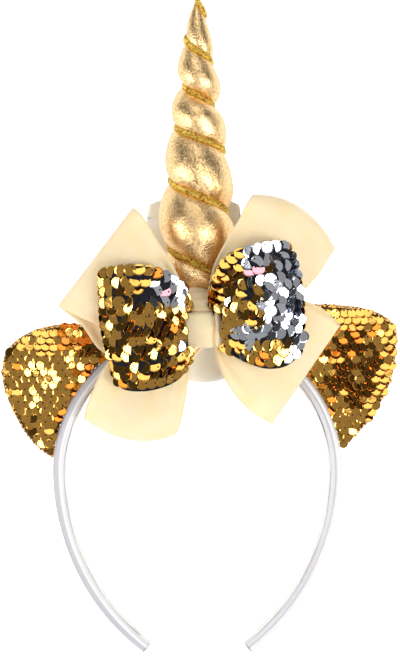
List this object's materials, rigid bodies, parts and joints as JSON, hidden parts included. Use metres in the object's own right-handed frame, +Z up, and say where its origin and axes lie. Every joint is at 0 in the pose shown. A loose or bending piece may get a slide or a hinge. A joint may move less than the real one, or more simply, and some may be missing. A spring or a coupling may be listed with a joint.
{
  "type": "headband with horn, ears and bow",
  "caption": "Satin hair band with a stuffed spiral horn wound with cord, two padded sequin ears, crossed wide ribbon bows and a sequin bow held by a ribbon knot.",
  "frame": {"origin": "bottom centre of the box, on the surface that the headband lies on", "axes": "+Y towards the horn's tip, +Z up out of the front of the bow, +X to the right as seen from the front"},
  "size_m": [0.1736, 0.286, 0.0526],
  "materials": {
    "satin": "white satin, soft sheen",
    "lining_ribbon": "white woven ribbon, matt",
    "gold_foil": "soft leatherette with gold foil, crackled",
    "gold_cord": "twisted gold lurex",
    "ear_sequins": "gold metallised sequins on fabric",
    "ear_backing": "tan satin",
    "ribbon": "pale yellow grosgrain",
    "bow_sequins": "gold and silver reversible sequins on dark fabric"
  },
  "bodies": {
    "root": {"headband": "satin", "band_lining": "lining_ribbon", "horn": "gold_foil", "horn_cord": "gold_cord", "ear_pad_left": "ear_sequins", "ear_pad_right": "ear_sequins", "ear_backing_left": "ear_backing", "ear_backing_right": "ear_backing", "ribbon_bow_back": "ribbon", "ribbon_bow_front": "ribbon", "rear_ribbon_bow": "ribbon", "center_wrap": "ribbon", "sequin_bow": "bow_sequins"}
  },
  "joints": []
}
